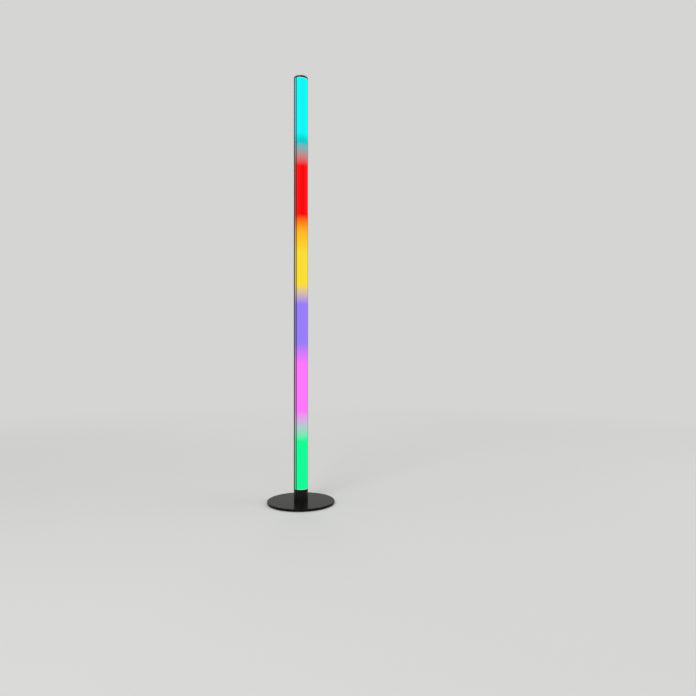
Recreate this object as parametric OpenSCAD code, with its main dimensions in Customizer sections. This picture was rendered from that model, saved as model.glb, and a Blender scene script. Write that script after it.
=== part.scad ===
// Corner floor lamp: a slim upright light tube on a round base plate.
// Millimetres. The origin is the centre of the underside, +Z is up, and the light faces
// the front, -Y.

/* [Overall] */
// Height from the floor to the top of the cap
lamp_h = 1200; // [900:10:1500]

/* [Base] */
// Diameter of the base plate
base_d = 190; // [160:5:240]
// Thickness of the steel base plate
base_t = 6; // [5:0.5:10]
// Rounding of the plate's upper edge
base_round = 1.5; // [0.5:0.25:2.5]
// Bevel of the plate's lower edge
base_bevel = 0.8; // [0.4:0.1:1.5]
// Thickness of the foam pad under the plate
pad_t = 1.5; // [1:0.25:3]
// How far the pad stands in from the plate's edge
pad_inset = 4; // [2:0.5:10]
// Diameter of the hole in the middle of the pad
pad_hole_d = 60; // [48:2:100]

/* [Collar] */
// Height of the collar between the base plate and the light tube
collar_h = 34; // [32:1:60]
// Wall of the collar
collar_wall = 3; // [2.5:0.25:4]
// Thickness of the deck that the light tube stands on
deck_t = 4; // [3:0.5:6]
// Height of the spigots that stand up into the channel
spigot_h = 10; // [6:1:20]
// Wall of the spigots
spigot_wall = 1.6; // [1.2:0.1:2]
// Radius of the screw bosses inside the collar
boss_r = 3.6; // [3.2:0.1:4]

/* [Light tube] */
// Outer diameter of the light tube, collar and cap
tube_d = 40; // [38:1:50]
// Wall of the aluminium channel
channel_wall = 1.6; // [1.2:0.1:2]
// Wall of the opal diffuser
diffuser_wall = 1.8; // [1.2:0.1:2.4]
// Angle of the tube's front that the diffuser covers, its wings included
diffuser_angle = 150; // [128:2:154]
// Angle of the channel's mouth, which lets the light out
mouth_angle = 106; // [96:2:108]
// Distance of the strip's seat behind the axis of the tube
seat_back = 3; // [2:0.5:4]
// Thickness of the web that the strip is stuck to
web_t = 1.6; // [1.2:0.1:2]
// Depth of the channel's lips and the diffuser's legs, from the outside of the tube
lip_depth = 6; // [5.5:0.5:7]
// Thickness of the channel's lips
lip_t = 1.6; // [1.4:0.1:2]
// Thickness of the diffuser's legs
leg_t = 1.4; // [1:0.1:1.8]
// Height of the snap bead on the diffuser's legs
bead_h = 0.5; // [0.3:0.05:0.6]
// Distance of each screw port from the middle
port_x = 9; // [8:0.5:10]
// Outer radius of the screw ports
port_outer_r = 3.2; // [2.8:0.1:3.5]
// Width of the slot along each screw port
port_slot = 1.4; // [1:0.1:2]

/* [Cap] */
// Height of the cap above the channel
cap_t = 6; // [4.5:0.5:12]
// Rounding of the cap's upper edge
cap_round = 1.5; // [0.5:0.25:2]

/* [Screws] */
// Diameter of the machine screws that hold the base plate
base_screw_d = 4; // [3:0.5:4]
// Length of their thread in the collar
thread_bite = 9; // [7:0.5:10]
// Thickness of their spring washers
washer_t = 0.8; // [0.5:0.1:1]
// Diameter of the tapping screws in the channel's screw ports
port_screw_d = 3.5; // [3:0.25:4]
// Length of their thread in the channel
port_bite = 14; // [8:1:20]

/* [Cable inlet] */
// Bore of the grommet, for a cord of 5 mm
inlet_d = 5.2; // [4:0.2:6]
// Rubber round the bore, where it passes through the collar
grommet_wall = 1.8; // [1.4:0.1:2]
// How far the grommet's flanges stand out around its neck
flange_rim = 1.5; // [1:0.1:1.8]
// Thickness of the flange inside the collar and of the one outside
flange_t = 1.5; // [1:0.1:2]

/* [Light strip] */
// Width of the flexible strip
strip_w = 10; // [8:1:12]
// Thickness of the flexible strip
strip_t = 0.3; // [0.2:0.05:0.5]
// Thickness of the heat-conducting tape behind the strip
tape_t = 0.2; // [0.1:0.05:0.4]
// Side of the square light chips
chip_side = 5; // [3:0.5:6]
// Height of the light chips
chip_t = 1.6; // [1:0.1:2]
// Distance from one light chip to the next
chip_pitch = 33.3; // [16:0.1:50]
// Diameter of the leads between the strip and the controller
lead_d = 1.3; // [1:0.1:1.6]

/* [Controller] */
// Thickness of the controller board
board_t = 1.6; // [1:0.2:2]
// Clearance between the controller board and the deck above it
board_headroom = 1.5; // [1:0.5:4]
// Diameter of the supply capacitor
capacitor_d = 6.3; // [5:0.1:6.3]
// Height of the supply capacitor
capacitor_h = 6; // [5:0.5:6.5]

/* [Hidden] */
$fn = 120;

// Clearances
fit_gap = 0.15;     // round the spigots, plugs and the grommet
snap_gap = 0.1;     // between the diffuser's legs and the channel's lips
thread_gap = 0.05;  // round a screw in its thread
slide_gap = 0.1;    // round the controller board in its guides and a plug in its socket
solder_gap = 0.05;  // between a lead and the strip
pass_gap = 0.25;    // round a screw in a plain hole
head_gap = 0.4;     // round a screw head in its counterbore
flush_gap = 0.2;    // between a sunk screw head and the face around it
end_gap = 0.3;      // above the diffuser, which grows when it is warm
merge = 0.8;        // how deep a guide or boss runs into the collar's wall
cut = 1;            // how far a cutter runs past the face that it opens

// Places
base_r = base_d / 2;
tube_r = tube_d / 2;
collar_in_r = tube_r - collar_wall;
base_top = pad_t + base_t;
tube_z0 = base_top + collar_h;
tube_z1 = lamp_h - cap_t;
deck_z = tube_z0 - deck_t;
edge_bevel = 0.6;   // on the edges where the tube meets the collar and the cap

// Screws: the heads follow the usual sizes for each thread
base_head_r = 0.95 * base_screw_d;
base_head_h = 0.65 * base_screw_d;
port_head_r = 0.88 * port_screw_d;
port_head_h = 0.62 * port_screw_d;
hex_share = 0.5;      // radius of a head's hexagon socket, as a share of the head's
hex_deep_share = 0.6; // depth of the hexagon socket, as a share of the head's height
washer_rim = 0.4;     // how far a washer stands out round its screw head
washer_r = base_head_r + washer_rim;
base_sink = base_head_h + washer_t + flush_gap;
cap_sink = port_head_h + flush_gap;
bolt_angles = [90, 215, 325];
bolt_ring_r = collar_in_r - boss_r + merge;
tap_run = 1;          // depth of a tapped hole past its screw
boss_roof = 1;        // boss left above a tapped hole
boss_h = thread_bite + tap_run + boss_roof;
port_root = 1;        // how deep a screw port runs into the web
port_y = seat_back + web_t + port_outer_r - port_root;

// Diffuser: its wings lie on the channel's ledges, and the beads on its legs snap into
// grooves in the lips of the channel's mouth
ledge_r = tube_r - diffuser_wall - snap_gap;
lip_in_r = tube_r - lip_depth;
groove_w = 1.6;
groove_in = 1.1;      // from the lip's inner end to its groove
groove_r = lip_in_r + groove_in;
rib_h = 4;
rib_t = 1.2;
rib_side_gap = 1;     // between a rib's ends and the diffuser's legs

// Cable inlet, above the rear screw boss
boss_to_flange = 0.5;
grommet_neck_r = inlet_d / 2 + grommet_wall;
flange_r = grommet_neck_r + flange_rim;
inlet_z = base_top + boss_h + boss_to_flange + flange_r;
grommet_y0 = sqrt(pow(collar_in_r, 2) - pow(flange_r, 2)) - flange_t;
grommet_y1 = tube_r + flange_t;

// Light strip
strip_end = 4;        // from each end of the channel to the strip
chip_end = 10;        // from the strip's lower end to the first chip's middle
chip_rim = 1;         // least strip left above the last chip
strip_front = seat_back - tape_t - strip_t;
strip_z0 = tube_z0 + strip_end;
strip_z1 = tube_z1 - strip_end;
first_chip = strip_z0 + chip_end;
chip_count = floor((strip_z1 - first_chip - chip_side / 2 - chip_rim) / chip_pitch) + 1;

// Leads, plug and output socket stand in one line below the strip
lead_pitch = 2.5;
lead_lap = 4;         // length of a lead that is soldered to the strip
lead_y = strip_front - solder_gap - lead_d / 2;
lead_z1 = strip_z0 + lead_lap;
lead_window_y = -4;   // front of the window in the deck that the leads pass through
plug_size = [8.4, 4.2, 8.5];
socket_wall = 0.8;
socket_floor = 1.2;
socket_h = 6.5;
socket_z = base_top + 11;
plug_z = socket_z + socket_floor + slide_gap;
socket_w = plug_size[0] + 2 * slide_gap + 2 * socket_wall;
socket_deep = plug_size[1] + 2 * slide_gap + 2 * socket_wall;
pin_side = 0.6;
pin_h = 4.5;
pin_tip_gap = 0.5;    // between a pin's tip and the end of its hole

// Controller board, upright in guides on the collar's wall
board_edge_gap = 1.2;
board_back = lead_y - socket_deep / 2;
board_front = board_back - board_t;
board_w = 2 * (sqrt(pow(collar_in_r, 2) - pow(board_front, 2)) - board_edge_gap);
board_h = collar_h - deck_t - board_headroom;
guide_bite = 1.5;     // how far a guide reaches over the board's edge
guide_t = 1.4;
guide_short = 2;      // how far a guide ends below the board's top

// Parts on the board: sizes, and places across it and above the base plate
input_size = [8, 7, 5.8];
input_z = base_top + 2.5;
input_pin_x = 1.25;
chip_size = [7, 0.9, 7];
chip_at = [-3, base_top + 19.5];
radio_size = [13, 0.8, 16];
radio_z = base_top + 2;
shield_size = [11, 1.6, 11];
shield_z = radio_z + 1;
capacitor_in = 6;     // from the board's end to the middle of the capacitor
capacitor_at = [board_w / 2 - capacitor_in, base_top + 22];

module base_bolts() {
    for (angle = bolt_angles)
        translate([bolt_ring_r * cos(angle), bolt_ring_r * sin(angle), 0]) children();
}

module ports() {
    for (side = [-1, 1])
        translate([side * port_x, port_y]) children();
}

// Turns +Z to the rear at the cable inlet
module inlet() {
    translate([0, 0, inlet_z]) rotate([-90, 0, 0]) children();
}

// A box whose middle is on X = 0, with its front and bottom faces at y and z
module box_at(size, y, z) {
    translate([-size[0] / 2, y, z]) cube(size);
}

// A screw that points up, with the underside of its head at Z = 0 and a hexagon socket
module screw(shank_r, length, head_r, head_h) {
    cylinder(r = shank_r, h = length);
    difference() {
        translate([0, 0, -head_h]) cylinder(r = head_r, h = head_h);
        translate([0, 0, -head_h - cut])
            cylinder(r = head_r * hex_share, h = head_h * hex_deep_share + cut, $fn = 6);
    }
}

function arc(centre, r, from, to, steps = 6) = [
    for (i = [0:steps])
        let (a = from + (to - from) * i / steps) centre + r * [cos(a), sin(a)]
];

module ring(r, wall) {
    difference() {
        circle(r = r);
        circle(r = r - wall);
    }
}

// The front sector of an angle, with both its edges drawn in by gap
module front_sector(angle, gap = 0) {
    half = angle / 2;
    far = 2 * tube_d;
    translate([0, -gap / sin(half)])
        polygon([
            [0, 0],
            [far * sin(half), -far * cos(half)],
            [far * sin(half), -2 * far],
            [-far * sin(half), -2 * far],
            [-far * sin(half), -far * cos(half)]
        ]);
}

// Both edges of that sector: +X runs outwards along the edge and +Y out of the sector
module sector_edges(angle) {
    for (side = [0, 1])
        mirror([side, 0]) rotate(angle / 2 - 90) children();
}

// The rear wall, which steps in at each edge of the diffuser
module channel_wall_outline() {
    step_r = tube_r - channel_wall / 2;
    difference() {
        union() {
            ring(tube_r, channel_wall);
            intersection() {
                ring(step_r, step_r - ledge_r + channel_wall);
                sector_edges(diffuser_angle) translate([0, -cut]) square([tube_d, cut + lip_t]);
            }
        }
        front_sector(diffuser_angle);
    }
}

// The ledges under the diffuser's wings, which end in the lips of the mouth
module channel_ledges() {
    difference() {
        union() {
            intersection() {
                ring(ledge_r, channel_wall);
                front_sector(diffuser_angle, -lip_t / 2);
            }
            intersection() {
                circle(r = ledge_r - channel_wall / 2);
                sector_edges(mouth_angle)
                    translate([lip_in_r, -cut]) square([lip_depth, cut + lip_t]);
            }
        }
        front_sector(mouth_angle);
    }
}

module channel_outline() {
    difference() {
        union() {
            channel_wall_outline();
            channel_ledges();
            intersection() {
                circle(r = tube_r - channel_wall / 2);
                translate([-tube_r, seat_back]) square([tube_d, web_t]);
            }
            ports() circle(r = port_outer_r);
        }
        sector_edges(mouth_angle)
            translate([groove_r, -cut]) square([groove_w, bead_h + snap_gap + cut]);
        ports() {
            circle(r = port_screw_d / 2 + thread_gap);
            translate([-port_slot / 2, 0]) square([port_slot, port_outer_r + cut]);
        }
    }
}

module diffuser_outline() {
    bead_r0 = groove_r + snap_gap;
    bead_r1 = groove_r + groove_w - snap_gap;
    intersection() {
        ring(tube_r, diffuser_wall);
        front_sector(diffuser_angle, snap_gap);
    }
    intersection() {
        circle(r = tube_r - diffuser_wall / 2);
        sector_edges(mouth_angle)
            polygon([
                [lip_in_r, -snap_gap - leg_t],
                [tube_r, -snap_gap - leg_t],
                [tube_r, -snap_gap],
                [bead_r1, -snap_gap],
                [bead_r1, bead_h / 2],
                [(bead_r0 + bead_r1) / 2, bead_h],
                [bead_r0, bead_h / 2],
                [bead_r0, -snap_gap],
                [lip_in_r, -snap_gap]
            ]);
    }
}

// The channel's rear chamber, with its walls drawn in by gap
module rear_chamber(gap) {
    difference() {
        circle(r = tube_r - channel_wall - gap);
        translate([-tube_d, -tube_d]) square([2 * tube_d, tube_d + seat_back + web_t + gap]);
        ports() circle(r = port_outer_r + gap);
    }
}

// A hollow spigot in the rear chamber and a low rib inside the diffuser, which keeps light in
module end_spigots() {
    linear_extrude(height = spigot_h)
        difference() {
            rear_chamber(fit_gap);
            rear_chamber(fit_gap + spigot_wall);
        }
    linear_extrude(height = rib_h)
        intersection() {
            ring(tube_r - diffuser_wall - fit_gap, rib_t);
            front_sector(mouth_angle, snap_gap + leg_t + rib_side_gap);
        }
}

module base_pad() {
    color("#2b2b2a")
        difference() {
            cylinder(r = base_r - pad_inset, h = pad_t);
            translate([0, 0, -cut]) cylinder(d = pad_hole_d, h = pad_t + 2 * cut);
        }
}

module base_plate() {
    color("#22251f")
        difference() {
            rotate_extrude()
                polygon(concat(
                    [[0, pad_t], [base_r - base_bevel, pad_t], [base_r, pad_t + base_bevel]],
                    arc([base_r - base_round, base_top - base_round], base_round, 0, 90),
                    [[0, base_top]]
                ));
            base_bolts() {
                translate([0, 0, pad_t - cut])
                    cylinder(r = washer_r + head_gap, h = base_sink + cut);
                cylinder(r = base_screw_d / 2 + pass_gap, h = base_top + cut);
            }
        }
}

module base_washers() {
    color("#9a9da0")
        base_bolts()
            translate([0, 0, pad_t + base_sink - washer_t])
                difference() {
                    cylinder(r = washer_r, h = washer_t);
                    translate([0, 0, -cut])
                        cylinder(r = base_screw_d / 2 + thread_gap, h = washer_t + 2 * cut);
                }
}

module base_screws() {
    color("#6f7275")
        base_bolts()
            translate([0, 0, pad_t + base_sink - washer_t])
                screw(
                    base_screw_d / 2, washer_t + base_t - base_sink + thread_bite,
                    base_head_r, base_head_h
                );
}

// Guides on the collar's wall that hold the controller board by its two long edges
module board_guides() {
    guide_y = board_front - slide_gap - guide_t;
    guide_deep = board_t + 2 * slide_gap + 2 * guide_t;
    intersection() {
        translate([0, 0, base_top]) cylinder(r = collar_in_r + merge, h = board_h - guide_short);
        for (side = [0, 1])
            mirror([side, 0, 0])
                difference() {
                    translate([board_w / 2 - guide_bite, guide_y, base_top])
                        cube([tube_r, guide_deep, board_h]);
                    translate([0, board_front - slide_gap, base_top - cut])
                        cube([
                            board_w / 2 + slide_gap, board_t + 2 * slide_gap, board_h + 2 * cut
                        ]);
                }
    }
}

module collar() {
    color("#1a1c1b")
        difference() {
            union() {
                rotate_extrude()
                    polygon([
                        [collar_in_r, base_top],
                        [tube_r, base_top],
                        [tube_r, tube_z0 - edge_bevel],
                        [tube_r - edge_bevel, tube_z0],
                        [0, tube_z0],
                        [0, deck_z],
                        [collar_in_r, deck_z]
                    ]);
                base_bolts() translate([0, 0, base_top]) cylinder(r = boss_r, h = boss_h);
                board_guides();
                translate([0, 0, tube_z0]) end_spigots();
            }
            base_bolts()
                translate([0, 0, base_top - cut])
                    cylinder(r = base_screw_d / 2 + thread_gap, h = thread_bite + tap_run + cut);
            ports()
                translate([0, 0, deck_z - cut])
                    cylinder(r = port_screw_d / 2 + pass_gap, h = deck_t + 2 * cut);
            box_at(
                [strip_w, strip_front - lead_window_y, deck_t + 2 * cut],
                lead_window_y, deck_z - cut
            );
            inlet() cylinder(r = grommet_neck_r + fit_gap, h = tube_r + cut);
        }
}

module cable_grommet() {
    color("#151515")
        difference() {
            union() {
                inlet()
                    translate([0, 0, grommet_y0])
                        cylinder(r = grommet_neck_r, h = grommet_y1 - grommet_y0);
                difference() {
                    inlet()
                        translate([0, 0, collar_in_r])
                            cylinder(r = flange_r, h = grommet_y1 - collar_in_r);
                    cylinder(r = tube_r + fit_gap, h = tube_z0);
                }
                intersection() {
                    inlet()
                        translate([0, 0, grommet_y0])
                            cylinder(r = flange_r, h = tube_r - grommet_y0);
                    cylinder(r = collar_in_r - fit_gap, h = tube_z0);
                }
            }
            inlet() cylinder(d = inlet_d, h = grommet_y1 + cut);
        }
}

module controller_board() {
    color("#1f5a36") box_at([board_w, board_t, board_h], board_front, base_top);
}

module controller_chip() {
    color("#202022")
        translate([chip_at[0], 0, 0])
            box_at(chip_size, board_front - chip_size[1], chip_at[1]);
}

// Radio board with its metal shield
module radio_module() {
    color("#b9bcc0") {
        box_at(radio_size, board_front - radio_size[1], radio_z);
        box_at(shield_size, board_front - radio_size[1] - shield_size[1], shield_z);
    }
}

// A round can with a crimp near its foot, which stands out from the board
module supply_capacitor() {
    r = capacitor_d / 2;
    crimp_z = 1.2;
    crimp = 0.4;
    color("#3b3f46")
        translate([capacitor_at[0], board_front, capacitor_at[1]])
            rotate([90, 0, 0])
                rotate_extrude()
                    polygon([
                        [0, 0],
                        [r, 0],
                        [r, crimp_z - crimp],
                        [r - crimp, crimp_z],
                        [r, crimp_z + crimp],
                        [r, capacitor_h - crimp],
                        [r - crimp, capacitor_h],
                        [0, capacitor_h]
                    ]);
}

// Socket for the supply cord's plug, open to the rear
module input_socket() {
    color("#e8e2d0")
        difference() {
            box_at(input_size, board_back, input_z);
            box_at(
                [
                    input_size[0] - 2 * socket_wall, input_size[1],
                    input_size[2] - 2 * socket_wall
                ],
                board_back + socket_floor, input_z + socket_wall
            );
        }
}

// Socket for the strip's plug, open at the top
module output_socket() {
    color("#e8e2d0")
        difference() {
            box_at([socket_w, socket_deep, socket_h], board_back, socket_z);
            box_at(
                [socket_w - 2 * socket_wall, socket_deep - 2 * socket_wall, socket_h],
                board_back + socket_wall, socket_z + socket_floor
            );
        }
}

module socket_pins() {
    color("#c9b26a") {
        for (i = [-1, 1])
            translate([i * input_pin_x, 0, 0])
                box_at(
                    [pin_side, pin_h, pin_side], board_back + socket_floor,
                    input_z + (input_size[2] - pin_side) / 2
                );
        for (i = [-1:1])
            translate([i * lead_pitch, 0, 0])
                box_at(
                    [pin_side, pin_side, pin_h], lead_y - pin_side / 2, socket_z + socket_floor
                );
    }
}

module lead_plug() {
    color("#f1eee4")
        difference() {
            box_at(plug_size, lead_y - plug_size[1] / 2, plug_z);
            for (i = [-1:1])
                translate([i * lead_pitch, lead_y, plug_z - cut])
                    cylinder(r = pin_side, h = pin_h + pin_tip_gap + cut);
        }
}

module strip_leads() {
    lead_z0 = plug_z + plug_size[2];
    color("#b8352c")
        for (i = [-1:1])
            translate([i * lead_pitch, lead_y, lead_z0])
                cylinder(d = lead_d, h = lead_z1 - lead_z0);
}

module collar_screws() {
    color("#6f7275")
        ports()
            translate([0, 0, deck_z])
                screw(port_screw_d / 2, deck_t + port_bite, port_head_r, port_head_h);
}

module back_channel() {
    color("#1c1e1d")
        translate([0, 0, tube_z0])
            linear_extrude(height = tube_z1 - tube_z0) channel_outline();
}

module strip_tape() {
    color("#d9d9d4")
        box_at([strip_w, tape_t, strip_z1 - strip_z0], strip_front + strip_t, strip_z0);
}

module led_strip() {
    color("#f4f4f0") box_at([strip_w, strip_t, strip_z1 - strip_z0], strip_front, strip_z0);
}

module led_chips() {
    color("#fff6d8")
        for (i = [0:chip_count - 1])
            box_at(
                [chip_side, chip_t, chip_side], strip_front - chip_t,
                first_chip + i * chip_pitch - chip_side / 2
            );
}

module diffuser() {
    color("#e6f2ef")
        translate([0, 0, tube_z0])
            linear_extrude(height = tube_z1 - tube_z0 - end_gap) diffuser_outline();
}

module top_cap() {
    color("#1a1c1b")
        difference() {
            union() {
                rotate_extrude()
                    polygon(concat(
                        [[0, tube_z1], [tube_r - edge_bevel, tube_z1]],
                        [[tube_r, tube_z1 + edge_bevel]],
                        arc([tube_r - cap_round, lamp_h - cap_round], cap_round, 0, 90),
                        [[0, lamp_h]]
                    ));
                translate([0, 0, tube_z1]) mirror([0, 0, 1]) end_spigots();
            }
            ports() {
                translate([0, 0, tube_z1 - cut])
                    cylinder(r = port_screw_d / 2 + pass_gap, h = cap_t + 2 * cut);
                translate([0, 0, lamp_h - cap_sink])
                    cylinder(r = port_head_r + head_gap, h = cap_sink + cut);
            }
        }
}

module cap_screws() {
    color("#6f7275")
        ports()
            translate([0, 0, lamp_h - cap_sink])
                mirror([0, 0, 1])
                    screw(
                        port_screw_d / 2, cap_t - cap_sink + port_bite, port_head_r, port_head_h
                    );
}

base_pad();
base_plate();
base_washers();
base_screws();
collar();
cable_grommet();
controller_board();
controller_chip();
radio_module();
supply_capacitor();
input_socket();
output_socket();
socket_pins();
lead_plug();
strip_leads();
collar_screws();
back_channel();
strip_tape();
led_strip();
led_chips();
diffuser();
top_cap();
cap_screws();
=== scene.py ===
"""Corner floor lamp: its finishes, its fine detail and the stage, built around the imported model."""

import math
from functools import partial

import bmesh
import bpy
from bpy.props import FloatProperty, FloatVectorProperty, IntProperty, PointerProperty
from mathutils import Matrix, Vector


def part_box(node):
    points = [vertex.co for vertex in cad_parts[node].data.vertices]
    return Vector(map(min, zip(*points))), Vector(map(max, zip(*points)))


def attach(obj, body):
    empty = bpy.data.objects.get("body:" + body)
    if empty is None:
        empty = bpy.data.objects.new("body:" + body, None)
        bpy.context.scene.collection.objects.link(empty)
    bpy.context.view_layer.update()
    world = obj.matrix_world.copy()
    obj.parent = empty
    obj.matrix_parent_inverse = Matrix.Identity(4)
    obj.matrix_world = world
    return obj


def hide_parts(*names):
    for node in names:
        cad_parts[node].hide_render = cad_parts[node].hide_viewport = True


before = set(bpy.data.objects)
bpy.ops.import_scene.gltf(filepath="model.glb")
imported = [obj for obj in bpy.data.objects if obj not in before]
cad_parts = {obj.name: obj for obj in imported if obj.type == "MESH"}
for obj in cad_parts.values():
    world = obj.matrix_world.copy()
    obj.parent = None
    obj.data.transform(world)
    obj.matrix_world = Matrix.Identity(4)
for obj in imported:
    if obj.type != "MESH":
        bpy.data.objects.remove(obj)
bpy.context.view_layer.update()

bl_info = {
    "name": "Corner Floor Lamp",
    "version": (1, 0, 0),
    "blender": (4, 5, 0),
    "location": "3D View > Sidebar > Lamp",
    "description": "Finishes a corner floor lamp and sets its stage",
    "category": "Object",
}

MM = 0.001
BODY = "root"


# -------- colours and sizes

def linear(hex_code):
    """The linear red, green and blue of an sRGB colour such as #1A2B3C."""
    channels = [int(hex_code[i:i + 2], 16) / 255 for i in (1, 3, 5)]
    return tuple(c / 12.92 if c <= 0.04045 else ((c + 0.055) / 1.055) ** 2.4 for c in channels)


def colour(name, description, hex_code):
    """A colour that the user can change."""
    return FloatVectorProperty(
        name=name, description=description, subtype="COLOR", min=0, max=1, default=linear(hex_code)
    )


def length(name, description, millimetres):
    """A length that the user can change."""
    return FloatProperty(
        name=name, description=description, unit="LENGTH", subtype="DISTANCE", min=0,
        default=millimetres * MM,
    )


def number(name, description, value):
    """A plain number that the user can change."""
    return FloatProperty(name=name, description=description, min=0, default=value)


class LampColours(bpy.types.PropertyGroup):
    """Colours of the lamp's pieces."""

    base_coat: colour("Base coat", "Powder coat on the base plate", "#131412")
    anodising: colour("Anodising", "Dyed anodising on the collar and channel", "#101111")
    cap_plastic: colour("Cap", "Moulded plastic of the top cap", "#121313")
    foam: colour("Pad", "Foam pad under the base", "#262625")
    rubber: colour("Grommet", "Rubber of the cable grommet", "#181818")
    screw: colour("Screws", "Black oxide on the screws", "#3C3C3E")
    zinc: colour("Washers", "Zinc plating on the washers", "#B9BCBF")
    nylon: colour("Sockets", "Natural nylon of the plug and sockets", "#E6E0CE")
    tape: colour("Tape", "Heat-conducting tape", "#A5A5A1")
    film: colour("Strip", "White cover film of the light strip", "#F0F0EA")
    package: colour("Light chips", "White resin of the light chips", "#F4F2EA")
    window: colour("Windows", "Silvered frame in the light chips' windows", "#D9D6C8")
    mask: colour("Board", "Solder mask on the controller board", "#14512E")
    copper: colour("Traces", "Copper under the solder mask", "#2B7B48")
    laminate: colour("Laminate", "Cut edge of the controller board", "#B9B48A")
    tin: colour("Tin", "Tinned pads, terminals and wires", "#C9CBCC")
    resin: colour("Chip resin", "Epoxy of the chips", "#1C1C1E")
    shield: colour("Shield", "Nickel silver of the radio's shield", "#B4B6B6")
    can: colour("Capacitor", "Aluminium can of the capacitor", "#B7BABD")
    stripe: colour("Stripe", "Dark ink on the capacitor and the strip", "#23262C")
    ceramic: colour("Ceramic", "Body of the small board parts", "#3A3029")
    brass: colour("Pins", "Brass of the socket pins", "#C8A65A")
    lead_supply: colour("Supply lead", "Insulation of the supply lead", "#A31D1A")
    lead_data: colour("Data lead", "Insulation of the data lead", "#1F7A3C")
    lead_return: colour("Return lead", "Insulation of the return lead", "#E4E2DC")


class LampLight(bpy.types.PropertyGroup):
    """Colours and levels of the light that the diffuser shows."""

    green: colour("Green", "Lowest zone", "#11FC99")
    pink: colour("Pink", "Second zone", "#FD79FD")
    violet: colour("Violet", "Third zone", "#987EF8")
    yellow: colour("Yellow", "Lower part of the fourth zone", "#FCDE34")
    amber: colour("Amber", "Upper part of the fourth zone", "#FEB622")
    red: colour("Red", "Fifth zone", "#FA0103")
    teal: colour("Teal", "Lower edge of the top zone", "#00C8CB")
    cyan: colour("Cyan", "Top zone", "#02F8F7")
    level: number("Level", "Strength of the light", 0.93)
    # Painted light: the share of the light's colour that is painted into the diffuser's base colour.
    painted_light_tint: number("Tint", "How much of the light's colour the plastic itself shows", 0.06)


class LampSizes(bpy.types.PropertyGroup):
    """Sizes of the fine detail."""

    edge_break: length("Edge break", "Width of the softened machined edges", 0.25)
    moulded_edge: length("Moulded edge", "Width of the softened moulded edges", 0.15)
    rubber_edge: length("Rubber edge", "Width of the rounded edges of rubber and foam", 0.35)
    pin_edge: length("Pin edge", "Width of the chamfered edges of the socket pins", 0.1)
    machine_pitch: length("Machine pitch", "Pitch of the machine screws' threads", 0.7)
    tapping_pitch: length("Tapping pitch", "Pitch of the tapping screws' threads", 1.3)
    thread_steps: IntProperty(
        name="Thread steps", description="Steps in one turn of a thread", min=8, default=20
    )


class LampStage(bpy.types.PropertyGroup):
    """Floor, background, lights and camera."""

    floor: colour("Floor", "Floor round the lamp", "#D9D9D7")
    background: colour("Background", "What the camera sees behind the lamp", "#D5D5D3")
    world_level: number("World level", "Strength of the even light from all round", 0.6)
    key_power: number("Key power", "Power of the key light in watts", 36)
    fill_power: number("Fill power", "Power of the fill light in watts", 17)
    lens: number("Lens", "Focal length in millimetres on a 36 mm sensor", 30.55)
    distance: length("Distance", "From the lamp's axis to the camera along its view", 1668)
    offset: length("Offset", "How far the camera stands to the right of the lamp", 133)
    height: length("Height", "Height of the camera above the floor", 437.5)
    azimuth: FloatProperty(
        name="Azimuth", description="Turn of the camera's view from the lamp's front",
        subtype="ANGLE", default=math.radians(-22.3),
    )


class Lamp(bpy.types.PropertyGroup):
    """All the settings of the lamp."""

    colours: PointerProperty(name="Colours", type=LampColours)
    light: PointerProperty(name="Light", type=LampLight)
    sizes: PointerProperty(name="Sizes", type=LampSizes)
    stage: PointerProperty(name="Stage", type=LampStage)


def settings():
    """The lamp's settings."""
    return bpy.context.scene.lamp


# -------- nodes and finishes

def add_node(owner, kind, inputs=None, stops=None, **options):
    """Adds a shader node with its options, its inputs and its colour stops.

    An input is a plain value, or a node or an output that it is linked to."""
    tree = owner.node_tree
    node = tree.nodes.new("ShaderNode" + kind)
    for key, value in options.items():
        setattr(node, key, value)
    for key, value in (inputs or {}).items():
        if isinstance(key, str):
            key = next(i for i, s in enumerate(node.inputs) if s.enabled and s.name == key)
        if isinstance(value, bpy.types.Node):
            value = next(output for output in value.outputs if output.enabled)
        if isinstance(value, bpy.types.NodeSocket):
            tree.links.new(value, node.inputs[key])
        else:
            node.inputs[key].default_value = value
    if stops:
        marks = node.color_ramp.elements
        while len(marks) < len(stops):
            marks.new(1.0)
        for mark, (position, rgb) in zip(marks, stops):
            mark.position = position
            mark.color = (*rgb, 1)
    return node


def only(owner, kind="BSDF_PRINCIPLED"):
    """The one node of a kind in a material or a world, by default the material's shader."""
    return next(node for node in owner.node_tree.nodes if node.type == kind)


def feed(owner, key, node, kind="BSDF_PRINCIPLED"):
    """Links a node to one of the sockets of the shader, or of another kind of node."""
    output = next(output for output in node.outputs if output.enabled)
    owner.node_tree.links.new(output, only(owner, kind).inputs[key])


def new_material(name, rgb, roughness, **sockets):
    """A material of one Principled BSDF, with its even values set on the sockets."""
    material = bpy.data.materials.new(name)
    material.use_nodes = True
    inputs = only(material).inputs
    inputs["Base Color"].default_value = (*rgb, 1)
    inputs["Roughness"].default_value = roughness
    for key, value in sockets.items():
        inputs[key.replace("_", " ")].default_value = value
    return material


def vary(material, pattern, rgb, lighter, roughness, relief_mm):
    """Lets the colour, the roughness and the height of a surface follow a pattern.

    The colour runs from rgb to rgb times lighter, and the roughness between its two values."""
    add = partial(add_node, material)
    low, high = 0.3, 0.7     # where most of a pattern lies, spread here over the whole range
    even = add("MapRange", {"Value": pattern, "From Min": low, "From Max": high})
    light = [min(1.0, channel * lighter) for channel in rgb]
    tone = add("Mix", {"Factor": even, "A": (*rgb, 1), "B": (*light, 1)}, data_type="RGBA")
    feed(material, "Base Color", tone)
    dull = add("MapRange", {"Value": even, "To Min": roughness[0], "To Max": roughness[1]})
    feed(material, "Roughness", dull)
    if relief_mm:
        bump = add("Bump", {"Height": even, "Distance": relief_mm * MM})
        feed(material, "Normal", bump)


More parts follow.
